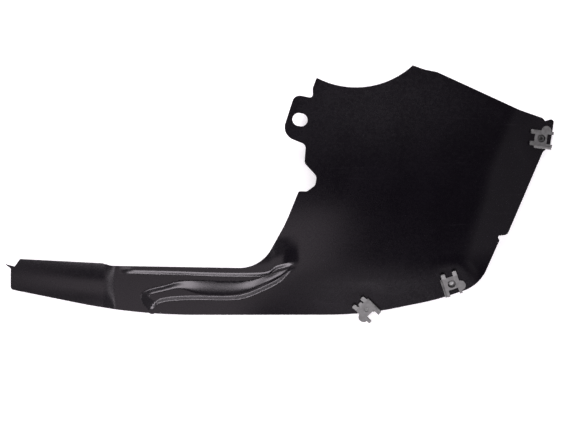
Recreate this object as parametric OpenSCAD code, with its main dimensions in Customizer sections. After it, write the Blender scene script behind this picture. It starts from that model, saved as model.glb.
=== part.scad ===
// Moulded wheel arch liner panel, lying on its rim with its outer face up,
// with three spring nuts pushed over its edges. Millimetres, +Z up.

/* [Sheet] */
// Thickness of the moulded sheet
wall = 2.2; // [1.6:0.1:3]
// Height of the shallow dome in the wide panel
dome_h = 22; // [10:1:28]
// Place of its top
dome_at = [112, 8];
// How far it reaches along the sheet and across it
dome_reach = [165, 120];
// Height of the outer face above the ground where the sheet is plain
plain_h = 11.76; // [8:0.1:20]
// Angle at which the sheet falls away towards its lower edge
lower_fall = 9; // [2:1:14]
// Where it starts to fall, and how softly
lower_fall_y = -78; // [-84:1:-70]
lower_fall_r = 14; // [8:1:18]
// The fall comes in between these places along the sheet
lower_fall_x = [-60, 60];

/* [Round cut-out] */
// Radius of the cut-out in the top edge
cutout_r = 88; // [70:1:96]
// Place of its centre
cutout_at = [80.5, 201.5];

/* [Ear] */
// Centre of the slot in the ear
ear_at = [21.8, 79.5];
// Length of the slot
slot_len = 16; // [14:0.5:20]
// Width of the slot
slot_w = 13.5; // [8:0.5:14]
// Lean of the slot
slot_lean = -12; // [-20:1:0]

/* [Arm] */
// Height of the lip along the arm's upper edge
lip_h = 3.2; // [2:0.2:6]
// Width of the slope that leads up to the lip
lip_slope_w = 5; // [3:0.5:6]
// Run over which the lip rises at its left end, and where it sinks away at its right end
lip_start_w = 20; // [8:1:24]
lip_end = [2, 22];
// Distance behind the lip's foot over which its ledge sinks back into the sheet
lip_ledge = [9, 35];
// Drop of the blade at the arm's free end
blade_drop = 4.5; // [1:0.5:6]
// Crown across the blade
blade_crown = 3; // [0:0.5:5]
// Half its width, and the place and lean of the crown's ridge
blade_half_w = 20; // [16:1:24]
blade_ridge = [-230, -88];
blade_ridge_lean = 0.1; // [0:0.02:0.2]
// Where the step to the blade starts and ends along the arm
blade_step = [-185, -171];

/* [Bead] */
// Height of the raised bead
bead_h = 5; // [3:0.5:8]
// Width of its steep lower flank
bead_flank_w = 5; // [4:0.5:7]
// Softness of the flanks' feet, from crisp to as round as their crests
foot_softness = 0.5; // [0:0.1:1]
// Middle and radius of its round nose, and the width of the nose's slope
nose_middle = [-128, -104];
nose_reach = 18; // [16:0.5:20]
nose_slope_w = 12; // [8:1:15]
// Where the bead starts to sink towards its pointed tip, and where it ends
bead_tip = [-15, 22];

/* [Side flange] */
// Angle at which the flange beyond the right-hand crease falls away
flange_fall = 13; // [5:1:20]
// Softness of the crease
crease_r = 8; // [4:1:12]
// The fall fades in between these heights up the panel
flange_fall_y = [-100, -55];

/* [Spring nuts] */
// Thickness of the spring steel
steel = 0.8; // [0.6:0.1:1]
// Room between the sheet and each leaf
seat_gap = 0.15; // [0.1:0.05:0.3]
// Width of a nut's leaves
nut_w = 16.7; // [14:0.1:19]
// Distance from the screw's axis to the inside of the fold, just past the edge of the sheet
nut_fold = 12.4; // [12.4:0.1:14]
// Inside radius of the fold's two bends
bend_r = 0.45; // [0.3:0.05:0.6]
// Distance from the screw's axis to the end of each leaf
nut_plate = 7.8; // [7:0.1:9]
// Reach of the lead-in ears beyond the leaves
nut_ear = 5.8; // [3:0.2:6]
// Width and lift of the ears
ear_w = 4.4; // [3.6:0.2:5]
ear_lift = 20; // [10:1:25]
// Width and lift of the stiffening strip along one side
strip_w = 2.6; // [1.6:0.2:3]
strip_lift = 42; // [30:1:60]
// Radius of the gripping lug, and its distance behind the screw's axis
lug_r = 5.4; // [4:0.2:6]
lug_back = 4.5; // [3:0.5:5]
// Width of the straps either side of the window, and where the window starts
strap_w = 3.2; // [2.6:0.2:4]
window_start = 6; // [5.5:0.1:7]
// Radius of the thread
thread_r = 2.1; // [1.6:0.1:2.6]
// Height and wall of the thread's collar
collar_h = 1.6; // [1:0.1:2.2]
collar_wall = 1.1; // [0.8:0.1:1.4]
// Radius of the screw's hole in the sheet
sheet_hole_r = 4.6; // [4.2:0.1:5]

/* [Hidden] */
$fn = 48;
panel_colour = [0.09, 0.085, 0.1];
steel_colour = [0.66, 0.65, 0.63];
far = 400;
// Sets the middle of the whole part on the origin
centring = [-0.4, -1.1, 0];

// Each spring nut: x, y, the way its ears point and whether it was pushed on front leaf down
nut_side = [275.6, 60, 173, false];
nut_corner = [180.93, -92.66, 108.65, false];
nut_lower = [91.45, -119.9, 136, true];
nuts = [nut_side, nut_corner, nut_lower];
// Round each nut the sheet is flat over the first radius and blends out by the second
pad_r = [18, 32];

// Corners of the outline, anticlockwise from the arm's lower left: x, y and corner radius
ear_corners = [for (c = [
        [13.5, 22.7, 3], [-5.7, 26.7, 8], [-19.4, -16, 14], [6.1, -26.2, 5.5]])
    [ear_at[0] + c[0], ear_at[1] + c[1], c[2]]];
corners = concat(
    [[-282.5, -98.7, 4], [-150.9, -125.4, 1055], [87.7, -125.4, 486], [165.1, -109.5, 234],
     [210, -94.6, 41], [231.4, -47.2, 1.6], [229, -42.5, 1.6], [239.7, -41.3, 5],
     [277, 45.2, 8], [285.4, 54.1, 2], [289.6, 81.4, 3], [279.6, 78.4, 1.2],
     [277, 81.5, 1.5], [251.8, 90.1, 63], [165.7, 129.7, 20], [152.6, 132.3, 6],
     [140, 136.8, 1.5], [39.3, 123.9, 2.5], [35.1, 112.7, 4]],
    ear_corners,
    [[26.4, 33.9, 5], [39.3, 20, 6], [37.6, 10.5, 5], [29, 4.3, 3.5], [20.4, 4.5, 2.5],
     [7.1, -28.4, 160], [-19.6, -76.3, 38], [-176.6, -73.7, 9], [-186.1, -71.1, 9],
     [-272.6, -66.6, 1.6], [-278.1, -74.7, 2.5],
     [-280.6, -73.9, 0.4], [-289.6, -71.4, 0.3], [-282.2, -76.6, 0.6]]);
// The most that the blade's edges drop below its ridge, as a share of its crown
blade_edge_drop = 1.6;
// The bead's nose juts a little past the lower edge
nose_at = [-133.5, -119.4];
nose_r = 5.2;

// The sheet is ruled between two guides just outside its outline. Each row is a point of the
// lower guide, the matching point of the upper guide and the steps to the next row.
rows = [
    [[-292, -104], [-292, -60], 5], [[-240, -113], [-240, -62], 6], [[-190, -122], [-190, -65], 9],
    [[-165, -127], [-165, -69], 7], [[-149, -128], [-149, -70], 11], [[-125, -129], [-125, -70], 7],
    [[-85, -130], [-85, -71], 6], [[-45, -130], [-45, -71], 7], [[-5, -131], [-22, -64], 9],
    [[45, -131], [-4, -40], 6], [[100, -129], [8, 5], 6], [[150, -119], [-2, 50], 5],
    [[192, -108], [-3, 85], 5], [[222, -92], [14, 113], 5], [[238, -58], [36, 130], 4],
    [[248, -40], [85, 125], 4], [[264, 0], [140, 142], 4], [[284, 40], [172, 133], 4],
    [[295, 62], [205, 117], 4], [[297, 88], [228, 107], 4], [[274, 90], [240, 101], 0]];
// Cells across the sheet. In the arm they are the lower flange, the bead's lower flank, its top and
// upper flank, the channel, the lip's slope and the rest; past it the first is the side flange, the
// second its crease
bands = [4, 3, 2, 4, 2, 2, 5];

// Lower and upper foot of the bead, the foot of the lip and the crease, as x and y
bead_low = [[-300, -119], [-150, -122], [-141, -124], [-134, -121.5], [-128, -114.2], [-120, -111.4],
    [-104, -109.8], [-83, -109.4], [-52, -109.6], [-36, -107.5], [-15, -99], [1, -90.4], [12, -80.8],
    [22, -73.4], [60, -68], [300, -68]];
bead_high = [[-300, -104], [-150, -104], [-146, -103], [-139, -99.5], [-120, -94.6], [-104, -90.4],
    [-83, -89.2], [-52, -90.4], [-31, -89.2], [-15, -84.8], [1, -79.4], [12, -74.2], [22, -70.5],
    [60, -64], [300, -64]];
lip_line = [[-300, -79], [-165, -82], [-104, -83.6], [-73, -84.7], [-30, -85.2], [-11, -83.6], [-3, -78],
    [20, -72.5], [60, -62], [300, -62]];
// Width of the bead's upper flank along the arm
upper_flank = [[-300, 6], [-125, 6], [-104, 8], [-82, 16], [-50, 16], [-15, 8], [20, 4], [300, 4]];
crease = [[-120, 180], [-70, 192], [-5, 211], [32, 220], [87, 242], [140, 262]];

function clamp01(s) = max(0, min(1, s));
function ease(s) = let (c = clamp01(s)) c * c * (3 - 2 * c);
function mix(a, b, s) = a + (b - a) * s;

// A smooth curve through rows of key and value
function key_index(t, keys, i = 0) = i >= len(keys) - 2 || t < keys[i + 1] ? i : key_index(t, keys, i + 1);
function tangent(keys, values, i) =
    let (a = max(0, i - 1), b = min(len(keys) - 1, i + 1)) (values[b] - values[a]) / (keys[b] - keys[a]);
function curve(t, keys, values) =
    let (i = key_index(t, keys), h = keys[i + 1] - keys[i], s = clamp01((t - keys[i]) / h))
    values[i] * (1 + 2 * s) * (1 - s) * (1 - s) + values[i + 1] * s * s * (3 - 2 * s)
    + tangent(keys, values, i) * h * s * (1 - s) * (1 - s) - tangent(keys, values, i + 1) * h * s * s * (1 - s);
function firsts(table) = [for (r = table) r[0]];
function seconds(table) = [for (r = table) r[1]];
function guide(x, table) = curve(x, firsts(table), seconds(table));

// Rise of a flank: tight at its foot and rounded over at its crest
function flank(s) = let (c = clamp01(s)) 1 - (1 - c) * (1 - c) * (1 + 2 * foot_softness * c);
function step_from(s, span) = ease((s - span[0]) / (span[1] - span[0]));

// Height of the outer face before the nuts' flat pads
function dome(x, y) =
    dome_h * exp(-pow((x - dome_at[0]) / dome_reach[0], 2) - pow((y - dome_at[1]) / dome_reach[1], 2));
function nose(x, y) =
    let (left = min(0, x - nose_middle[0]), below = left < 0 ? min(0, y - nose_middle[1]) : 0)
    flank((nose_reach - norm([left, below])) / nose_slope_w);
function bead(x, y) =
    bead_h * flank((y - guide(x, bead_low)) / bead_flank_w)
    * flank((guide(x, bead_high) - y) / guide(x, upper_flank)) * nose(x, y) * (1 - step_from(x, bead_tip));
function lip(x, y) =
    let (above = y - guide(x, lip_line))
    lip_h * flank(above / lip_slope_w) * ease((x - blade_step[1]) / lip_start_w)
    * (1 - step_from(x, lip_end)) * (1 - step_from(above, lip_ledge));
function lower_roll(x, y) =
    -tan(lower_fall) * soft_ramp(lower_fall_y - y, lower_fall_r) * step_from(x, lower_fall_x);
function blade(x, y) =
    let (q = (y - blade_ridge[1] + blade_ridge_lean * (x - blade_ridge[0])) / blade_half_w)
    (1 - step_from(x, blade_step)) * (-blade_drop + blade_crown * (1 - min(blade_edge_drop, q * q)));
function soft_ramp(s, r) = s < -r ? 0 : s > r ? s : (s + r) * (s + r) / (4 * r);
function flange(x, y) =
    -tan(flange_fall) * soft_ramp(x - guide(y, crease), crease_r) * step_from(y, flange_fall_y);
function open_face(x, y) =
    plain_h + dome(x, y) + bead(x, y) + lip(x, y) + blade(x, y) + flange(x, y) + lower_roll(x, y);

// Slope of a face, its flat pads round the nuts, and its normal
probe = 0.2;
function nut_slope(n) = [
    (open_face(n[0] + probe, n[1]) - open_face(n[0] - probe, n[1])) / (2 * probe),
    (open_face(n[0], n[1] + probe) - open_face(n[0], n[1] - probe)) / (2 * probe)];
pads = [for (n = nuts) [n[0], n[1], open_face(n[0], n[1]), nut_slope(n)]];
function pad_blend(p, x, y) = 1 - ease((norm([x - p[0], y - p[1]]) - pad_r[0]) / (pad_r[1] - pad_r[0]));
function pad_plane(p, x, y) = p[2] + p[3][0] * (x - p[0]) + p[3][1] * (y - p[1]);
function padded(z, x, y, i = 0) =
    i == len(pads) ? z : padded(mix(z, pad_plane(pads[i], x, y), pad_blend(pads[i], x, y)), x, y, i + 1);
function face(x, y) = padded(open_face(x, y), x, y);
function face_normal(x, y) =
    let (gx = (face(x + probe, y) - face(x - probe, y)) / (2 * probe),
         gy = (face(x, y + probe) - face(x, y - probe)) / (2 * probe),
         n = [-gx, -gy, 1])
    n / norm(n);

// Stations along the sheet and rails across it
row_keys = [for (i = [0:len(rows) - 1]) i];
station_at = [for (i = [0:len(rows) - 2]) each [for (s = [0:rows[i][2] - 1]) i + s / rows[i][2]], len(rows) - 1];
low_ends = [for (u = station_at) curve(u, row_keys, [for (r = rows) r[0]])];
high_ends = [for (u = station_at) curve(u, row_keys, [for (r = rows) r[1]])];
n_station = len(station_at) - 1;
n_rail = bands[0] + bands[1] + bands[2] + bands[3] + bands[4] + bands[5] + bands[6];

// The rails follow the arm up to the first of these, and spread over the panel from the second
arm_end = 20;
panel_start = 90;
// The rails leave the crease behind between these places on the lower guide
crease_start = [195, 220];
// Least gap between rails and the highest that any but the last may lie, as shares of a station
least_gap = 0.012;
last_rail = 0.97;

// Share of the way up a station at which it meets a guide, found by repeated closing in
function meet(b, t, table, shift, f = 0.5, turns = 5) =
    turns == 0 ? f
    : meet(b, t, table, shift, (guide(mix(b[0], t[0], f), table) + shift - b[1]) / (t[1] - b[1]), turns - 1);
function meet_crease(b, t, shift, f = 0.2, turns = 6) =
    turns == 0 ? f
    : meet_crease(b, t, shift, (guide(mix(b[1], t[1], f), crease) + shift - b[0]) / (t[0] - b[0]), turns - 1);
function even_share(i) = i == 0 ? 0 : even_share(i - 1) + bands[i - 1] / n_rail;
function arm_edges(b, t) =
    [0, meet(b, t, bead_low, 0), meet(b, t, bead_low, bead_flank_w),
     meet(b, t, bead_high, -guide(b[0], upper_flank)), meet(b, t, bead_high, 0),
     meet(b, t, lip_line, 0), meet(b, t, lip_line, lip_slope_w), 1];
function panel_edges(b, t) =
    let (out = meet_crease(b, t, crease_r), into = meet_crease(b, t, -crease_r),
         crossing = step_from(b[0], crease_start), rest = 1 - even_share(2))
    [for (i = [0:7])
        mix(even_share(i), i == 0 ? 0 : i == 1 ? out : mix(into, 1, (even_share(i) - even_share(2)) / rest),
            crossing)];
function band_edges(b, t) =
    b[0] <= arm_end ? arm_edges(b, t)
    : b[0] >= panel_start ? panel_edges(b, t)
    : mix(arm_edges(b, t), panel_edges(b, t), ease((b[0] - arm_end) / (panel_start - arm_end)));
function rising(list, i = 1, floor_at = 0) =
    i == len(list) ? []
    : let (v = max(list[i], floor_at + least_gap)) concat([v], rising(list, i + 1, v));
function rail_shares(b, t) =
    let (raw = band_edges(b, t), e = concat([0], rising([for (v = raw) min(v, last_rail)])))
    concat([for (i = [0:6]) each [for (s = [0:bands[i] - 1])
        mix(e[i], i == 6 ? 1 : e[i + 1], s / bands[i])]], [1]);

outer_face = [for (i = [0:n_station]) each
    let (b = low_ends[i], t = high_ends[i])
    [for (f = rail_shares(b, t)) let (p = mix(b, t, f)) [p[0], p[1], face(p[0], p[1])]]];
inner_face = [for (p = outer_face) p - wall * face_normal(p[0], p[1])];

module relief_sheet() {
    m = len(outer_face);
    k = n_rail;
    n = n_station;
    function id(i, j) = i * (k + 1) + j;
    top_faces = [for (i = [0:n - 1]) for (j = [0:k - 1]) each
        [[id(i, j), id(i, j + 1), id(i + 1, j + 1)], [id(i, j), id(i + 1, j + 1), id(i + 1, j)]]];
    under_faces = [for (f = top_faces) [m + f[0], m + f[2], m + f[1]]];
    low_rim = [for (i = [0:n - 1]) each
        [[id(i, 0), id(i + 1, 0), m + id(i, 0)], [id(i + 1, 0), m + id(i + 1, 0), m + id(i, 0)]]];
    high_rim = [for (i = [0:n - 1]) each
        [[id(i, k), m + id(i, k), id(i + 1, k)], [id(i + 1, k), m + id(i, k), m + id(i + 1, k)]]];
    left_rim = [for (j = [0:k - 1]) each
        [[id(0, j), m + id(0, j), id(0, j + 1)], [id(0, j + 1), m + id(0, j), m + id(0, j + 1)]]];
    right_rim = [for (j = [0:k - 1]) each
        [[id(n, j), id(n, j + 1), m + id(n, j)], [id(n, j + 1), m + id(n, j + 1), m + id(n, j)]]];
    polyhedron(concat(outer_face, inner_face),
        concat(top_faces, under_faces, low_rim, high_rim, left_rim, right_rim));
}

// The outline, each corner rounded by its own radius. An arc turns by these angles a step, the
// second on a radius above the limit
arc_step = [12, 2];
long_radius = 100;
least_steps = 2;
// Most of a side that a corner's rounding may take
side_share = 0.48;
function unit(v) = v / norm(v);
function corner_arc(before, at, after, r) =
    let (u = unit(before - at), v = unit(after - at), half = acos(max(-1, min(1, u * v))) / 2,
         reach = min(r / tan(half), side_share * min(norm(before - at), norm(after - at))),
         radius = reach * tan(half), middle = at + unit(u + v) * radius / sin(half),
         from_angle = atan2(at[1] + u[1] * reach - middle[1], at[0] + u[0] * reach - middle[0]),
         to_angle = atan2(at[1] + v[1] * reach - middle[1], at[0] + v[0] * reach - middle[0]),
         turn = (to_angle - from_angle + 540) % 360 - 180,
         steps = max(least_steps, ceil(abs(turn) / arc_step[radius > long_radius ? 1 : 0])))
    [for (s = [0:steps]) middle + radius * [cos(from_angle + turn * s / steps), sin(from_angle + turn * s / steps)]];
function xy(c) = [c[0], c[1]];
outline = [for (i = [0:len(corners) - 1]) each
    let (c = len(corners))
    corner_arc(xy(corners[(i + c - 1) % c]), xy(corners[i]), xy(corners[(i + 1) % c]), corners[i][2])];

module slot_outline() {
    half_run = (slot_len - slot_w) / 2;
    translate(ear_at) rotate(slot_lean) {
        translate([-half_run, -slot_w / 2]) square([2 * half_run, slot_w]);
        for (side = [-1, 1])
            translate([side * half_run, 0]) circle(d = slot_w);
    }
}

// Moves a nut's own frame, whose z = 0 is halfway through the sheet, to its place on the sheet
module at_nut(n) {
    slope = nut_slope(n);
    along = slope[0] * cos(n[2]) + slope[1] * sin(n[2]);
    across = slope[1] * cos(n[2]) - slope[0] * sin(n[2]);
    lift = unit([-slope[0], -slope[1], 1]) * wall / 2;
    translate([n[0], n[1], open_face(n[0], n[1])] - lift)
        rotate([atan(across * cos(atan(along))), -atan(along), n[2]])
            children();
}

// Opens a screw's hole through the lower edge of the sheet
module edge_notch(n) {
    translate([n[0] - sheet_hole_r, n[1] - far, -far / 2])
        cube([2 * sheet_hole_r, far, far]);
}

module liner_panel() {
    color(panel_colour)
        difference() {
            intersection() {
                relief_sheet();
                linear_extrude(far, center = true) {
                    polygon(outline);
                    translate(nose_at) circle(nose_r);
                }
            }
            translate([cutout_at[0], cutout_at[1], -far / 2]) cylinder(h = far, r = cutout_r, $fn = 180);
            linear_extrude(far, center = true) slot_outline();
            for (n = nuts)
                at_nut(n) cylinder(h = 4 * wall, r = sheet_hole_r, center = true);
            edge_notch(nut_lower);
        }
}

// Spring nut: its U section runs along x, with the fold at negative x and the ears at positive x.
// The front leaf is at positive z.
inner_r = wall / 2 + seat_gap;
outer_r = inner_r + steel;
fold_x = -nut_fold;
bend_x = fold_x + bend_r;
cut = 1;

module bend(side) {
    translate([bend_x, side * (inner_r - bend_r)])
        intersection() {
            difference() {
                circle(bend_r + steel);
                circle(bend_r);
            }
            translate([-bend_r - steel, side > 0 ? 0 : -bend_r - steel]) square(bend_r + steel);
        }
}

module u_section() {
    for (side = [-1, 1]) {
        bend(side);
        translate([bend_x, side > 0 ? inner_r : -outer_r]) square([nut_plate - bend_x, steel]);
    }
    translate([fold_x - steel, bend_r - inner_r]) square([steel, 2 * (inner_r - bend_r)]);
}

// A tab with a round end that leads the sheet in, on the front leaf or the back one
module lead_in(leaf, across, width, reach) {
    translate([nut_plate - steel / 2, across, leaf * (inner_r + steel / 2)])
        rotate([0, -leaf * ear_lift, 0])
            linear_extrude(steel, center = true)
                intersection() {
                    translate([reach + steel / 2 - width, 0]) circle(width);
                    translate([0, -width / 2]) square([reach + steel, width]);
                }
}

// The strip along one side of a leaf, bent away from the sheet
module side_strip(leaf) {
    translate([bend_x, nut_w / 2, leaf * (inner_r + steel / 2)])
        rotate([leaf * strip_lift, 0, 0]) {
            translate([0, 0, -steel / 2]) cube([nut_plate - bend_x, strip_w, steel]);
            rotate([0, 90, 0]) cylinder(h = nut_plate - bend_x, r = steel / 2);
        }
}

module side_lug() {
    translate([-lug_back, -nut_w / 2, inner_r])
        linear_extrude(steel)
            intersection() {
                circle(lug_r);
                translate([-lug_r, -lug_r]) square([2 * lug_r, lug_r + cut]);
            }
}

module spring_nut(n) {
    color(steel_colour)
        at_nut(n) rotate([n[3] ? 180 : 0, 0, 0])
            difference() {
                union() {
                    rotate([90, 0, 0]) linear_extrude(nut_w, center = true) u_section();
                    for (leaf = [-1, 1]) {
                        side_strip(leaf);
                        for (side = [-1, 1])
                            lead_in(leaf, side * (nut_w - ear_w) / 2, ear_w, nut_ear);
                    }
                    lead_in(-1, 0, ear_w, nut_ear / 2);
                    side_lug();
                    translate([0, 0, -outer_r]) cylinder(h = steel + collar_h, r = thread_r + collar_wall);
                }
                translate([0, 0, -outer_r - cut])
                    cylinder(h = steel + collar_h + 2 * cut, r = thread_r);
                translate([0, 0, inner_r - cut / 2]) cylinder(h = steel + cut, r = sheet_hole_r - 0.4);
                translate([-window_start - far, strap_w - nut_w / 2, -far / 2])
                    cube([far, nut_w - 2 * strap_w, far]);
            }
}

translate(centring) {
    liner_panel();
    spring_nut(nut_side);  // spring_nut_side
    spring_nut(nut_corner);  // spring_nut_corner
    spring_nut(nut_lower);  // spring_nut_lower
}
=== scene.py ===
"""Looks of a moulded wheel arch liner panel with three spring nuts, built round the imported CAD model."""

import math

import bpy
import numpy as np
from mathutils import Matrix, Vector
from mathutils.geometry import delaunay_2d_cdt


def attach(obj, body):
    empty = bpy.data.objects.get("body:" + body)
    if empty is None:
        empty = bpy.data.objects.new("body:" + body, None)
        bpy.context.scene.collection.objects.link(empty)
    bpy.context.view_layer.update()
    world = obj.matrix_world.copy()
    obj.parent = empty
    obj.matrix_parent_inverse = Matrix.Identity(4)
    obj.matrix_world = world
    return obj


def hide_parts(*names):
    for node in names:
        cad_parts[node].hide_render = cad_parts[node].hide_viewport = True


MM = 0.001

# Sheet, in millimetres as in the part's source
WALL = 2.2
DOME_H = 22.0
DOME_AT = (112.0, 8.0)
DOME_REACH = (165.0, 120.0)
PLAIN_H = 11.76
LOWER_FALL = 9.0
LOWER_FALL_Y = -78.0
LOWER_FALL_R = 14.0
LOWER_FALL_X = (-60.0, 60.0)
CENTRING = np.array([-0.4, -1.1])

# Round cut-out, ear and slot
CUTOUT_R = 88.0
CUTOUT_AT = (80.5, 201.5)
EAR_AT = (21.8, 79.5)
SLOT_LEN = 16.0
SLOT_W = 13.5
SLOT_LEAN = -12.0

# Arm
LIP_H = 3.2
LIP_SLOPE_W = 5.0
LIP_START_W = 20.0
LIP_END = (2.0, 22.0)
LIP_LEDGE = (9.0, 35.0)
BLADE_DROP = 4.5
BLADE_CROWN = 3.0
BLADE_STEP = (-185.0, -171.0)
BLADE_RIDGE = (-230.0, -88.0)
BLADE_RIDGE_LEAN = 0.1
BLADE_HALF_W = 20.0
BLADE_EDGE_DROP = 1.6
BEAD_H = 5.0
BEAD_FLANK_W = 5.0
FOOT_SOFTNESS = 0.5
NOSE_MIDDLE = (-128.0, -104.0)
NOSE_REACH = 18.0
NOSE_SLOPE_W = 12.0
BEAD_TIP = (-15.0, 22.0)

# Side flange
FLANGE_FALL = 13.0
CREASE_R = 8.0
FLANGE_FALL_Y = (-100.0, -55.0)

# Spring nuts: place of the screw's axis, the flat pads round them and the screws' holes in the sheet,
# the last of which runs out through the lower edge
NUTS_AT = [(275.6, 60.0), (180.93, -92.66), (91.45, -119.9)]
PAD_R = (18.0, 32.0)
SHEET_HOLE_R = 4.6

# Guides: feet of the bead and the lip, width of the bead's upper flank, and the crease
BEAD_LOW = [(-300, -119), (-150, -122), (-141, -124), (-134, -121.5), (-128, -114.2), (-120, -111.4),
            (-104, -109.8), (-83, -109.4), (-52, -109.6), (-36, -107.5), (-15, -99), (1, -90.4), (12, -80.8),
            (22, -73.4), (60, -68), (300, -68)]
BEAD_HIGH = [(-300, -104), (-150, -104), (-146, -103), (-139, -99.5), (-120, -94.6), (-104, -90.4),
             (-83, -89.2), (-52, -90.4), (-31, -89.2), (-15, -84.8), (1, -79.4), (12, -74.2), (22, -70.5),
             (60, -64), (300, -64)]
LIP_LINE = [(-300, -79), (-165, -82), (-104, -83.6), (-73, -84.7), (-30, -85.2), (-11, -83.6), (-3, -78),
            (20, -72.5), (60, -62), (300, -62)]
UPPER_FLANK = [(-300, 6), (-125, 6), (-104, 8), (-82, 16), (-50, 16), (-15, 8), (20, 4), (300, 4)]
CREASE = [(-120, 180), (-70, 192), (-5, 211), (32, 220), (87, 242), (140, 262)]

# Outline, anticlockwise from the arm's lower left: x, y and corner radius
EAR_CORNERS = [(13.5, 22.7, 3), (-5.7, 26.7, 8), (-19.4, -16, 14), (6.1, -26.2, 5.5)]
CORNERS = [(-282.5, -98.7, 4), (-150.9, -125.4, 1055), (87.7, -125.4, 486), (165.1, -109.5, 234),
           (210, -94.6, 41), (231.4, -47.2, 1.6), (229, -42.5, 1.6), (239.7, -41.3, 5),
           (277, 45.2, 8), (285.4, 54.1, 2), (289.6, 81.4, 3), (279.6, 78.4, 1.2),
           (277, 81.5, 1.5), (251.8, 90.1, 63), (165.7, 129.7, 20), (152.6, 132.3, 6),
           (140, 136.8, 1.5), (39.3, 123.9, 2.5), (35.1, 112.7, 4)]
CORNERS += [(EAR_AT[0] + x, EAR_AT[1] + y, r) for x, y, r in EAR_CORNERS]
CORNERS += [(26.4, 33.9, 5), (39.3, 20, 6), (37.6, 10.5, 5), (29, 4.3, 3.5), (20.4, 4.5, 2.5),
            (7.1, -28.4, 160), (-19.6, -76.3, 38), (-176.6, -73.7, 9), (-186.1, -71.1, 9),
            (-272.6, -66.6, 1.6), (-278.1, -74.7, 2.5),
            (-280.6, -73.9, 0.4), (-289.6, -71.4, 0.3), (-282.2, -76.6, 0.6)]
NOSE_AT = (-133.5, -119.4)
NOSE_R = 5.2

# Fineness of the rim: steps along it, degrees in a small corner, the share of a side that a corner may
# take, and the numbers of points round the slot's ends, a hole and a notch
RIM_STEP = 1.6
LEAST_RIM_STEP = RIM_STEP / 20
ARC_STEP = 12.0
LEAST_ARC_STEPS = 4
SMALL_CORNER_R = 12.0
CORNER_SHARE = 0.48
SLOT_END_POINTS = 18
HOLE_POINTS = 40
NOTCH_POINTS = 16
NOTCH_SIDE_STEPS = 4
HALVINGS = 40

# Fineness inside the rim: steps of the even field and along the rails, the least distance from the rim,
# the cell that holds one point at most, and the parts in which distances to the rim are measured
FIELD_STEP = 3.2
RAIL_STEP = 1.8
CLEAR_OF_RIM = 0.9
CELL = 0.75
BATCHES = 60

# Plan areas of the rails along the arm and the crease, of the even field and of the arm's finer field
RAIL_X = (-290.0, 62.0)
RAIL_Y = (-110.0, 130.0)
FIELD_X = (-292.0, 292.0)
FIELD_Y = (-134.0, 140.0)
ARM_X = (-292.0, 30.0)
ARM_Y = (-126.0, -60.0)

# Rails at shares of a flank, from its foot to its crest, and of the crease's bend
FLANK_SHARES = (0.0, 1.0, 0.5, 0.25, 0.75, 0.12, 1.2, -0.3)
CREASE_SHARES = np.linspace(-1.2, 1.2, 9)

# Rim: softening of its edges and its steps. The inner face lies straight below the outer one at the rim,
# and square to it further in.
EDGE_R = 0.35
EDGE_SHARES = (0.35, 0.7, 1.0)
STRAIGHT_W = 1.0
SQUARING_W = 4.0
LEAST_UPRIGHT = 0.55

# Kind of triangulation, triangles inside the outline, and the distance below which points are one
INSIDE_TRIANGLES = 2
SAME_POINT = 1e-7


# Heights of the outer face, from the same formulas as the part's source

def ease(s):
    c = np.clip(s, 0.0, 1.0)
    return c * c * (3 - 2 * c)


def curve(t, table):
    """A smooth curve through rows of key and value, level beyond its ends."""
    keys = np.array([row[0] for row in table], float)
    values = np.array([row[1] for row in table], float)
    before = np.maximum(np.arange(len(keys)) - 1, 0)
    after = np.minimum(np.arange(len(keys)) + 1, len(keys) - 1)
    slopes = (values[after] - values[before]) / (keys[after] - keys[before])
    i = np.clip(np.searchsorted(keys, t, side="right") - 1, 0, len(keys) - 2)
    h = keys[i + 1] - keys[i]
    s = np.clip((t - keys[i]) / h, 0.0, 1.0)
    return (values[i] * (1 + 2 * s) * (1 - s) ** 2 + values[i + 1] * s * s * (3 - 2 * s)
            + slopes[i] * h * s * (1 - s) ** 2 - slopes[i + 1] * h * s * s * (1 - s))


def soft_ramp(s, r):
    return np.where(s < -r, 0.0, np.where(s > r, s, (s + r) ** 2 / (4 * r)))


def flank(s):
    """Rise of a flank: tight at its foot and rounded over at its crest."""
    c = np.clip(s, 0.0, 1.0)
    return 1 - (1 - c) ** 2 * (1 + 2 * FOOT_SOFTNESS * c)


def step_from(s, span):
    return ease((s - span[0]) / (span[1] - span[0]))


def dome(x, y):
    u = (x - DOME_AT[0]) / DOME_REACH[0]
    v = (y - DOME_AT[1]) / DOME_REACH[1]
    return DOME_H * np.exp(-u * u - v * v)


def nose(x, y):
    left = np.minimum(0, x - NOSE_MIDDLE[0])
    below = np.where(left < 0, np.minimum(0, y - NOSE_MIDDLE[1]), 0)
    return flank((NOSE_REACH - np.hypot(left, below)) / NOSE_SLOPE_W)


def bead(x, y):
    up = flank((y - curve(x, BEAD_LOW)) / BEAD_FLANK_W)
    down = flank((curve(x, BEAD_HIGH) - y) / curve(x, UPPER_FLANK))
    return BEAD_H * up * down * nose(x, y) * (1 - step_from(x, BEAD_TIP))


def lip(x, y):
    above = y - curve(x, LIP_LINE)
    start = ease((x - BLADE_STEP[1]) / LIP_START_W)
    end = (1 - step_from(x, LIP_END)) * (1 - step_from(above, LIP_LEDGE))
    return LIP_H * flank(above / LIP_SLOPE_W) * start * end


def lower_roll(x, y):
    fall = soft_ramp(LOWER_FALL_Y - y, LOWER_FALL_R) * step_from(x, LOWER_FALL_X)
    return -math.tan(math.radians(LOWER_FALL)) * fall


def blade(x, y):
    q = (y - BLADE_RIDGE[1] + BLADE_RIDGE_LEAN * (x - BLADE_RIDGE[0])) / BLADE_HALF_W
    crown = BLADE_CROWN * (1 - np.minimum(BLADE_EDGE_DROP, q * q))
    return (1 - step_from(x, BLADE_STEP)) * (crown - BLADE_DROP)


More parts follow.
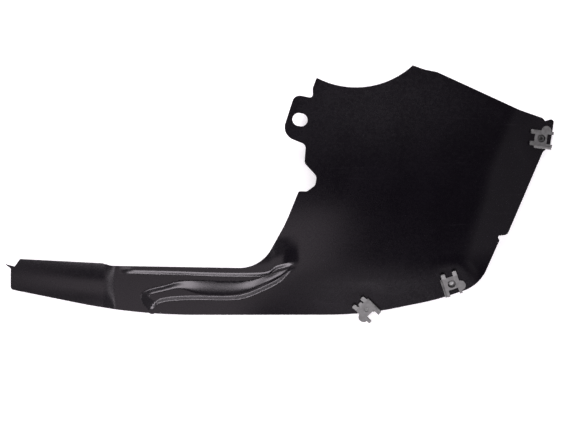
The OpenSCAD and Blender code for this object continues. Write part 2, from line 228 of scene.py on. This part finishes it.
def flange(x, y):
    fall = soft_ramp(x - curve(y, CREASE), CREASE_R) * step_from(y, FLANGE_FALL_Y)
    return -math.tan(math.radians(FLANGE_FALL)) * fall


def open_face(x, y):
    return PLAIN_H + dome(x, y) + bead(x, y) + lip(x, y) + blade(x, y) + flange(x, y) + lower_roll(x, y)


def slope_of(height, x, y, probe=0.2):
    gx = (height(x + probe, y) - height(x - probe, y)) / (2 * probe)
    gy = (height(x, y + probe) - height(x, y - probe)) / (2 * probe)
    return gx, gy


def face(x, y):
    z = open_face(x, y)
    for px, py in NUTS_AT:
        at = (np.array(px), np.array(py))
        gx, gy = slope_of(open_face, *at)
        plane = open_face(*at) + gx * (x - px) + gy * (y - py)
        near = 1 - ease((np.hypot(x - px, y - py) - PAD_R[0]) / (PAD_R[1] - PAD_R[0]))
        z = z + (plane - z) * near
    return z


def face_normal(x, y):
    gx, gy = slope_of(face, x, y)
    n = np.stack([-gx, -gy, np.ones_like(gx)], axis=-1)
    return n / np.linalg.norm(n, axis=-1, keepdims=True)


# Outline and holes as dense loops, with the material on their left

def on_circle(middle, r, angles):
    return np.array(middle) + r * np.stack([np.cos(angles), np.sin(angles)], axis=1)


def least_turn(angle):
    """The angle with whole turns taken off, from a half turn back to a half turn on."""
    return (angle + math.pi) % (2 * math.pi) - math.pi


def corner_arc(before, at, after, r):
    """The points that round one corner, as an arc of radius r or of the largest that has room."""
    before, at, after = (np.array(p[:2], float) for p in (before, at, after))
    u = (before - at) / np.linalg.norm(before - at)
    v = (after - at) / np.linalg.norm(after - at)
    half = math.acos(max(-1.0, min(1.0, float(u @ v)))) / 2
    room = CORNER_SHARE * min(np.linalg.norm(before - at), np.linalg.norm(after - at))
    reach = min(r / math.tan(half), room)
    radius = reach * math.tan(half)
    middle = at + (u + v) / np.linalg.norm(u + v) * radius / math.sin(half)
    start, end = at + u * reach - middle, at + v * reach - middle
    a = math.atan2(start[1], start[0])
    turn = least_turn(math.atan2(end[1], end[0]) - a)
    by_angle = math.degrees(abs(turn)) / ARC_STEP
    by_length = radius * abs(turn) / RIM_STEP if radius > SMALL_CORNER_R else 0
    steps = max(2, math.ceil(max(by_angle, by_length)))
    return on_circle(middle, radius, a + turn * np.linspace(0, 1, steps + 1))


def filled_in(loop):
    """The closed loop with its long sides divided evenly."""
    out = []
    for p, q in zip(loop, np.roll(loop, -1, axis=0)):
        n = max(1, math.ceil(np.linalg.norm(q - p) / RIM_STEP))
        out += [p + (q - p) * k / n for k in range(n)]
    return np.array(out)


def clear_of(points, ends):
    """The points that keep clear of both ends of a new stretch of the loop."""
    gaps = [np.linalg.norm(points - end, axis=1) for end in ends]
    return points[np.minimum(*gaps) > CLEAR_OF_RIM]


def opened(loop, marked):
    """The loop from its last point before the marked stretch, and the index of the first one after."""
    start = int(np.argmax(~marked & np.roll(marked, -1)))
    after = 1 + int(np.argmin(np.roll(marked, -start)[1:]))
    return np.roll(loop, -start, axis=0), after


def with_arc(loop, centre, radius):
    """The loop with its stretch inside a circle replaced by the lower arc of that circle."""
    centre = np.array(centre)
    loop, after = opened(loop, np.linalg.norm(loop - centre, axis=1) < radius)
    crossings = []
    for p, q in ((loop[0], loop[1]), (loop[after], loop[after - 1])):
        for _ in range(HALVINGS):
            m = (p + q) / 2
            p, q = (m, q) if np.linalg.norm(m - centre) > radius else (p, m)
        crossings.append(p)
    lowest = -math.pi / 2
    a, b = (least_turn(math.atan2(c[1] - centre[1], c[0] - centre[0]) - lowest) for c in crossings)
    steps = max(LEAST_ARC_STEPS, math.ceil(radius * abs(b - a) / min(RIM_STEP, radius / LEAST_ARC_STEPS)))
    arc = on_circle(centre, radius, a + (b - a) * np.linspace(0, 1, steps + 1) + lowest)
    rest = np.concatenate([loop[after:], loop[:1]])
    return np.concatenate([arc, clear_of(rest, crossings)])


def with_notch(loop, at, r):
    """The loop with a slot cut from its lower edge up to a round end about a point."""
    loop, after = opened(loop, (np.abs(loop[:, 0] - at[0]) < r) & (loop[:, 1] < at[1]))
    feet = []
    for p, q, x in ((loop[0], loop[1], at[0] - r), (loop[after - 1], loop[after], at[0] + r)):
        feet.append(p + (q - p) * (x - p[0]) / (q[0] - p[0]))
    top = on_circle(at, r, np.linspace(math.pi, 0, NOTCH_POINTS))
    n = NOTCH_SIDE_STEPS
    rise = [feet[0] + (top[0] - feet[0]) * k / n for k in range(n)]
    fall = [top[-1] + (feet[1] - top[-1]) * k / n for k in range(1, n + 1)]
    rest = np.concatenate([loop[after:], loop[:1]])
    return np.concatenate([rise, top, fall, clear_of(rest, feet)])


def outline_loop():
    n = len(CORNERS)
    arcs = [corner_arc(CORNERS[i - 1], CORNERS[i], CORNERS[(i + 1) % n], CORNERS[i][2]) for i in range(n)]
    loop = filled_in(np.concatenate(arcs))
    loop = with_arc(loop, NOSE_AT, NOSE_R)
    loop = with_arc(loop, CUTOUT_AT, CUTOUT_R)
    loop = with_notch(loop, NUTS_AT[2], SHEET_HOLE_R)
    kept = np.linalg.norm(loop - np.roll(loop, 1, axis=0), axis=1) > LEAST_RIM_STEP
    return loop[kept]


def slot_loop():
    half_run, r, lean = (SLOT_LEN - SLOT_W) / 2, SLOT_W / 2, math.radians(SLOT_LEAN)
    points = []
    for side in (1, -1):
        for t in np.linspace(90, -90, SLOT_END_POINTS):
            a = math.radians(t + (0 if side == 1 else 180))
            points.append((side * half_run + r * math.cos(a), r * math.sin(a)))
    turn = np.array([[math.cos(lean), -math.sin(lean)], [math.sin(lean), math.cos(lean)]])
    return np.array(points) @ turn.T + np.array(EAR_AT)


def hole_loop(at, r):
    return on_circle(at, r, -np.linspace(0, 2 * math.pi, HOLE_POINTS, endpoint=False))


def inward(loop):
    """The step into the material at each point of a loop that moves both its sides in by one."""
    d = np.roll(loop, -1, axis=0) - loop
    d = d / np.linalg.norm(d, axis=1, keepdims=True)
    n = np.stack([-d[:, 1], d[:, 0]], axis=1)
    n = n + np.roll(n, 1, axis=0)
    return 2 * n / np.maximum((n ** 2).sum(axis=1, keepdims=True), 1.0)


def in_material(points, loops):
    """Which points lie in the material: inside the outline and outside every hole."""
    odd = np.zeros(len(points), bool)
    for loop in loops:
        for p, q in zip(loop, np.roll(loop, -1, axis=0)):
            crosses = (p[1] > points[:, 1]) != (q[1] > points[:, 1])
            if p[1] != q[1]:
                at = p[0] + (points[:, 1] - p[1]) * (q[0] - p[0]) / (q[1] - p[1])
                odd ^= crosses & (points[:, 0] < at)
    return odd


def rim_distance(points, loops):
    rim = np.concatenate(loops)
    return np.concatenate([np.sqrt(((part[:, None, :] - rim[None]) ** 2).sum(-1).min(1))
                           for part in np.array_split(points, BATCHES)])


def field_points(loops):
    """Points in the material: rails along the bead, the lip and the crease, and an even field, finer on the
    arm."""
    rails = []
    xs = np.arange(*RAIL_X, RAIL_STEP)
    for share in FLANK_SHARES:
        for table, width in ((BEAD_LOW, BEAD_FLANK_W), (LIP_LINE, LIP_SLOPE_W)):
            rails.append(np.stack([xs, curve(xs, table) + share * width], axis=1))
        rails.append(np.stack([xs, curve(xs, BEAD_HIGH) - share * curve(xs, UPPER_FLANK)], axis=1))
    ys = np.arange(*RAIL_Y, RAIL_STEP)
    for share in CREASE_SHARES:
        rails.append(np.stack([curve(ys, CREASE) + share * CREASE_R, ys], axis=1))
    gx, gy = np.meshgrid(np.arange(*FIELD_X, FIELD_STEP), np.arange(*FIELD_Y, FIELD_STEP))
    gx = gx + (np.arange(gx.shape[0])[:, None] % 2) * FIELD_STEP / 2
    rails.append(np.stack([gx.ravel(), gy.ravel()], axis=1))
    arm_x, arm_y = np.meshgrid(np.arange(*ARM_X, RAIL_STEP), np.arange(*ARM_Y, RAIL_STEP))
    rails.append(np.stack([arm_x.ravel(), arm_y.ravel()], axis=1))
    points = np.concatenate(rails)
    cells = np.floor(points / CELL).astype(int)
    _, first = np.unique(cells, axis=0, return_index=True)
    points = points[np.sort(first)]
    points = points[in_material(points, loops)]
    return points[rim_distance(points, loops) > CLEAR_OF_RIM]


def softened(ring, ring_normals, side, out):
    """Rows of points, with their normals, that round one edge of the rim, listed from the top down."""
    rows, row_normals = [], []
    for share in EDGE_SHARES if side == 1 else EDGE_SHARES[::-1]:
        a = share * math.pi / 2
        back = np.array([0, 0, (1 - math.cos(a)) * side])
        rows.append(ring + EDGE_R * (math.sin(a) * out - back))
        blend = math.cos(a) * ring_normals + math.sin(a) * out
        row_normals.append(blend / np.linalg.norm(blend, axis=1, keepdims=True))
    return rows, row_normals


def plan_mesh(edge_loops, inner):
    """The moulding seen from above: its points, those of the rim first, and its triangles."""
    edges, at = [], 0
    for loop in edge_loops:
        edges += [(at + k, at + (k + 1) % len(loop)) for k in range(len(loop))]
        at += len(loop)
    flat = np.concatenate([*edge_loops, inner])
    found = delaunay_2d_cdt([Vector(p) for p in flat], edges, [], INSIDE_TRIANGLES, SAME_POINT)
    plan = np.array([tuple(v) for v in found[0]])
    if len(plan) != len(flat):
        raise RuntimeError("the outline crosses itself")
    tris = np.array([tuple(f) for f in found[2]])
    return plan, tris[in_material(plan[tris].mean(axis=1), edge_loops)]


def both_faces(plan, depth):
    """Points of the outer face and of the inner face behind it, and the outer face's normals."""
    n = face_normal(plan[:, 0], plan[:, 1])
    z = face(plan[:, 0], plan[:, 1])
    top = np.column_stack([plan, z])
    straight = top - np.column_stack([0 * z, 0 * z, WALL / np.maximum(n[:, 2], LEAST_UPRIGHT)])
    square_in = ease((depth - STRAIGHT_W) / SQUARING_W)[:, None]
    return top, straight + (top - WALL * n - straight) * square_in, n


def liner_mesh():
    """The moulding: outer face, inner face one wall behind it and a rim with softened edges."""
    loops = [outline_loop(), slot_loop()] + [hole_loop(at, SHEET_HOLE_R) for at in NUTS_AT[:2]]
    ins = [inward(loop) for loop in loops]
    edge_loops = [loop + n * EDGE_R for loop, n in zip(loops, ins)]
    inner = field_points(edge_loops)
    plan, tris = plan_mesh(edge_loops, inner)
    depth = np.concatenate([np.zeros(len(plan) - len(inner)), rim_distance(inner, edge_loops)])
    top, under, n = both_faces(plan, depth)

    count = len(plan)
    points, normals = [top, under], [n, -n]
    faces = [*tris, *(tris[:, [0, 2, 1]] + count)]
    rings = 2 * len(EDGE_SHARES)
    base, start = 2 * count, 0
    for loop, n_in in zip(loops, ins):
        m = len(loop)
        out = np.column_stack([-n_in, np.zeros(m)])
        for sheet, side in ((top, 1), (under, -1)):
            rows, row_normals = softened(sheet[start:start + m], side * n[start:start + m], side, out)
            points += rows
            normals += row_normals
        ids = [start + np.arange(m)] + [base + k * m + np.arange(m) for k in range(rings)]
        ids.append(count + start + np.arange(m))
        for upper, lower in zip(ids, ids[1:]):
            for k in range(m):
                j = (k + 1) % m
                faces.append((upper[k], lower[k], lower[j], upper[j]))
        base += rings * m
        start += m
    points = np.concatenate(points)
    points[:, :2] += CENTRING
    mesh = bpy.data.meshes.new("liner_shell")
    mesh.from_pydata((points * MM).tolist(), [], [tuple(int(i) for i in f) for f in faces])
    mesh.update()
    mesh.polygons.foreach_set("use_smooth", [True] * len(mesh.polygons))
    mesh.normals_split_custom_set_from_vertices(np.concatenate(normals).tolist())
    return mesh


# Materials

PLASTIC_DARK = (0.0016, 0.0011, 0.0023)
PLASTIC_PALE = (0.0026, 0.0019, 0.0036)
PLASTIC_RUBBED = (0.02, 0.019, 0.022)
PLASTIC_ROUGH = (0.25, 0.28)
STEEL_DARK = (0.158, 0.163, 0.157)
STEEL_PALE = (0.262, 0.27, 0.26)
STEEL_ROUGH = (0.62, 0.76)

# Grain, specks, clouds and scuffs of the plastic, rolling lines and dull patches of the steel: scales in
# turns a metre, depths in metres
GRAIN_SCALE = 1500.0
GRAIN_DEPTH = 0.00008
SPECK_SCALE = 330.0
SPECK_ROUGH = (-0.015, 0.025)
CLOUD_SCALE = 22.0
CLOUD_DEPTH = 0.0004
SCUFF_SCALE = (14.0, 260.0, 60.0)
SCUFF_LEAN = 0.2
SCUFF_SHARE = (0.0, 0.35)
ROLLING_SCALE = (900.0, 4000.0, 900.0)
ROLLING_DEPTH = 0.00006
DULL_PATCH_SCALE = 260.0

# Spans of a noise that become a whole range of colour, roughness or share
NOISE_SPAN = (0.3, 0.7)
CLOUD_COLOUR_SPAN = (0.3, 0.75)
CLOUD_ROUGH_SPAN = (0.25, 0.75)
SCUFF_SPAN = (0.62, 0.8)


def new_material(name, **values):
    material = bpy.data.materials.new(name)
    material.use_nodes = True
    shader = material.node_tree.nodes["Principled BSDF"]
    for socket, value in values.items():
        shader.inputs[socket.replace("_", " ")].default_value = value
    return material, shader


def add_node(owner, kind, inputs=None, **settings):
    """A node in the tree of a material or the world, with values or links at its inputs."""
    node = owner.node_tree.nodes.new(kind)
    for key, value in settings.items():
        setattr(node, key, value)
    for socket, value in (inputs or {}).items():
        if isinstance(value, bpy.types.NodeSocket):
            owner.node_tree.links.new(value, node.inputs[socket])
        else:
            node.inputs[socket].default_value = value
    return node


def join(owner, out, into):
    owner.node_tree.links.new(out, into)


def noise(owner, where, scale, detail, rough=0.5):
    node = add_node(owner, "ShaderNodeTexNoise",
                    {"Vector": where, "Scale": scale, "Detail": detail, "Roughness": rough})
    return node.outputs["Fac"]


def combine(owner, operation, first, second):
    node = add_node(owner, "ShaderNodeMath", {0: first, 1: second}, operation=operation)
    return node.outputs["Value"]


def ramp(owner, factor, span, dark, pale):
    node = add_node(owner, "ShaderNodeValToRGB", {"Fac": factor})
    for stop, at, colour in zip(node.color_ramp.elements, span, (dark, pale)):
        stop.position = at
        stop.color = (*colour, 1)
    return node.outputs["Color"]


def remap(owner, value, span, to):
    node = add_node(owner, "ShaderNodeMapRange", {"Value": value, "From Min": span[0], "From Max": span[1],
                                                  "To Min": to[0], "To Max": to[1]})
    return node.outputs["Result"]


def plastic_material():
    """Black moulded polypropylene: fine grain, a cloudy sheen and faint drawn scuffs."""
    material, shader = new_material("panel_plastic", Metallic=0.0, IOR=1.49)
    place = add_node(material, "ShaderNodeTexCoord").outputs["Object"]
    grain = noise(material, place, GRAIN_SCALE, 3.0, 0.6)
    cloud = noise(material, place, CLOUD_SCALE, 5.0, 0.6)
    speck = noise(material, place, SPECK_SCALE, 2.0)
    drawn = add_node(material, "ShaderNodeMapping",
                     {"Vector": place, "Rotation": (0, 0, SCUFF_LEAN), "Scale": SCUFF_SCALE})
    scuff = noise(material, drawn.outputs["Vector"], 1.0, 6.0, 0.7)
    rub = remap(material, scuff, SCUFF_SPAN, SCUFF_SHARE)
    mixed = add_node(material, "ShaderNodeMix", {"Factor": rub}, data_type="RGBA")
    join(material, ramp(material, cloud, CLOUD_COLOUR_SPAN, PLASTIC_DARK, PLASTIC_PALE), mixed.inputs["A"])
    mixed.inputs["B"].default_value = (*PLASTIC_RUBBED, 1)
    join(material, mixed.outputs["Result"], shader.inputs["Base Color"])
    rough = combine(material, "ADD", remap(material, cloud, CLOUD_ROUGH_SPAN, PLASTIC_ROUGH),
                    remap(material, speck, NOISE_SPAN, SPECK_ROUGH))
    join(material, rough, shader.inputs["Roughness"])
    relief = add_node(material, "ShaderNodeBump",
                      {"Height": grain, "Strength": 0.09, "Distance": GRAIN_DEPTH})
    waves = add_node(material, "ShaderNodeBump", {"Height": cloud, "Strength": 0.06, "Distance": CLOUD_DEPTH,
                                                  "Normal": relief.outputs["Normal"]})
    join(material, waves.outputs["Normal"], shader.inputs["Normal"])
    return material


def steel_material():
    """Zinc-plated spring steel: fine rolling lines and duller patches."""
    material, shader = new_material("spring_steel", Metallic=1.0)
    place = add_node(material, "ShaderNodeTexCoord").outputs["Object"]
    drawn = add_node(material, "ShaderNodeMapping", {"Vector": place, "Scale": ROLLING_SCALE})
    lines = noise(material, drawn.outputs["Vector"], 1.0, 4.0)
    cloud = noise(material, place, DULL_PATCH_SCALE, 4.0)
    join(material, ramp(material, cloud, NOISE_SPAN, STEEL_DARK, STEEL_PALE), shader.inputs["Base Color"])
    join(material, remap(material, cloud, NOISE_SPAN, STEEL_ROUGH), shader.inputs["Roughness"])
    relief = add_node(material, "ShaderNodeBump",
                      {"Height": lines, "Strength": 0.3, "Distance": ROLLING_DEPTH})
    join(material, relief.outputs["Normal"], shader.inputs["Normal"])
    return material


# Scene round the object, with lengths in metres

FLOOR_SIZE = 6.0
FLOOR_GLOW = 0.55
# Colour of the painted shade on the floor where ambient occlusion finds it covered by the object
FLOOR_PAINTED_SHADE = (0.1, 0.1, 0.1)
FLOOR_WHITE = (0.86, 0.86, 0.86)
# Reach of the painted shade below the object, and the shares of open sky between which it ends
PAINTED_SHADE_REACH = 0.06
PAINTED_SHADE_SPAN = (0.2, 0.42)
# Brightness of the room by the height of the direction, from level to overhead
WORLD_STOPS = [(0.0, 0.48), (0.7, 0.34), (0.86, 0.068), (0.92, 0.02), (0.97, 0.01)]
# Camera straight above: its height and place, and the width that it sees at the height of the sheet
CAMERA_H = 5.0
VIEW_AT = (0.00569, -0.01842)
VIEW_W = 0.5985
VIEW_W_AT = 0.015
SENSOR = 36.0
# Tints of the lamps
WARM = (1.0, 0.88, 0.96)
VIOLET = (1.0, 0.92, 1.0)


def floor_material():
    """White to the camera and to reflections. Its real shadow from the lamps is deepened by painted shade:
    ambient occlusion darkens the floor's colour and glow below the object.
    """
    material, shader = new_material("floor_white", Roughness=0.9)
    path = add_node(material, "ShaderNodeLightPath")
    seen = combine(material, "MAXIMUM", path.outputs["Is Camera Ray"], path.outputs["Is Glossy Ray"])
    # Painted shade: ambient occlusion darkens the floor's glow and colour below the object and through its
    # holes
    open_sky = add_node(material, "ShaderNodeAmbientOcclusion", {"Distance": PAINTED_SHADE_REACH}, samples=16)
    clear = remap(material, open_sky.outputs["AO"], PAINTED_SHADE_SPAN, (0.0, 1.0))
    glow = combine(material, "MULTIPLY", seen, FLOOR_GLOW)
    join(material, combine(material, "MULTIPLY", glow, clear), shader.inputs["Emission Strength"])
    join(material, ramp(material, clear, (0.0, 1.0), FLOOR_PAINTED_SHADE, FLOOR_WHITE), shader.inputs["Base Color"])
    shader.inputs["Emission Color"].default_value = (1, 1, 1, 1)
    return material


def add_floor():
    bpy.ops.mesh.primitive_grid_add(x_subdivisions=8, y_subdivisions=8, size=FLOOR_SIZE)
    floor = bpy.context.object
    floor.name = "floor"
    floor.data.materials.append(floor_material())


def set_world():
    """White to the camera; to the object, a soft room that is darker overhead than at its sides."""
    world = bpy.data.worlds.new("studio")
    bpy.context.scene.world = world
    world.use_nodes = True
    world.node_tree.nodes.clear()
    where = add_node(world, "ShaderNodeTexCoord")
    height = add_node(world, "ShaderNodeSeparateXYZ", {"Vector": where.outputs["Generated"]})
    shade = add_node(world, "ShaderNodeValToRGB", {"Fac": height.outputs["Z"]})
    stops = shade.color_ramp.elements
    while len(stops) < len(WORLD_STOPS):
        stops.new(0.5)
    for stop, (at, value) in zip(stops, WORLD_STOPS):
        stop.position = at
        stop.color = (*(value * part for part in VIOLET), 1)
    room = add_node(world, "ShaderNodeBackground", {"Color": shade.outputs["Color"]})
    white = add_node(world, "ShaderNodeBackground", {"Color": (1, 1, 1, 1)})
    path = add_node(world, "ShaderNodeLightPath")
    mixed = add_node(world, "ShaderNodeMixShader",
                     {"Fac": path.outputs["Is Camera Ray"], 1: room.outputs["Background"],
                      2: white.outputs["Background"]})
    add_node(world, "ShaderNodeOutputWorld", {"Surface": mixed.outputs["Shader"]})


def add_lamp(name, at, target, size, power, colour):
    """A flat lamp that the camera doesn't see, at a place and turned to a target, with power in watts."""
    data = bpy.data.lights.new(name, "AREA")
    data.shape = "RECTANGLE"
    data.size, data.size_y = size
    data.energy = power
    data.color = colour
    lamp = bpy.data.objects.new(name, data)
    bpy.context.scene.collection.objects.link(lamp)
    lamp.location = at
    lamp.rotation_euler = (Vector(target) - Vector(at)).to_track_quat("-Z", "Y").to_euler()
    lamp.visible_camera = False


def add_camera():
    data = bpy.data.cameras.new("camera")
    data.sensor_width = SENSOR
    data.lens = SENSOR * (CAMERA_H - VIEW_W_AT) / VIEW_W
    data.clip_end = 10 * CAMERA_H
    camera = bpy.data.objects.new("camera", data)
    bpy.context.scene.collection.objects.link(camera)
    camera.location = (*VIEW_AT, CAMERA_H)
    bpy.context.scene.camera = camera


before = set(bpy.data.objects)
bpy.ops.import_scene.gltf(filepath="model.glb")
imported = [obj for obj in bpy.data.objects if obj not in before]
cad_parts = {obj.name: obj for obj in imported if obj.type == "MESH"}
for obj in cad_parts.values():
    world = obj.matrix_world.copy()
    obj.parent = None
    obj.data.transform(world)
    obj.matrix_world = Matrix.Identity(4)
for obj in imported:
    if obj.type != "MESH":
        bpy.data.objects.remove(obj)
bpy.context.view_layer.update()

add_camera()
add_floor()
set_world()
# Two wide strips beyond the far and near sides give the streaks on the folds, and small lamps fill in
add_lamp("far_side_strip", (-0.25, 1.45, 1.0), (-0.15, -0.1, 0.0), (1.5, 1.2), 41.0, VIOLET)
add_lamp("near_side_strip", (0.2, -1.6, 0.65), (-0.1, -0.1, 0.0), (1.5, 0.8), 32.0, VIOLET)
add_lamp("over_arm", (-0.135, -0.165, 0.45), (-0.135, -0.165, 0.0), (0.28, 0.2), 0.18, WARM)
add_lamp("over_blade", (-0.31, -0.13, 0.45), (-0.31, -0.13, 0.0), (0.1, 0.46), 0.075, WARM)
add_lamp("near_fill", (-0.06, -0.38, 0.45), (0.0, -0.1, 0.0), (0.35, 0.26), 0.08, WARM)
add_lamp("left_fill", (-0.75, -0.1, 0.95), (-0.15, -0.1, 0.0), (0.35, 0.3), 1.2, VIOLET)
add_lamp("corner_fill", (-0.17, 0.14, 0.5), (0.0, 0.05, 0.0), (0.16, 0.25), 0.01, VIOLET)

liner = bpy.data.objects.new("liner_moulding", liner_mesh())
bpy.context.scene.collection.objects.link(liner)
liner.data.materials.append(plastic_material())
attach(liner, "root")
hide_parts("liner_panel")

steel = steel_material()
for name in ("spring_nut_side", "spring_nut_corner", "spring_nut_lower"):
    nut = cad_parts[name]
    nut.data.materials.clear()
    nut.data.materials.append(steel)

bpy.context.scene.view_settings.view_transform = "Standard"
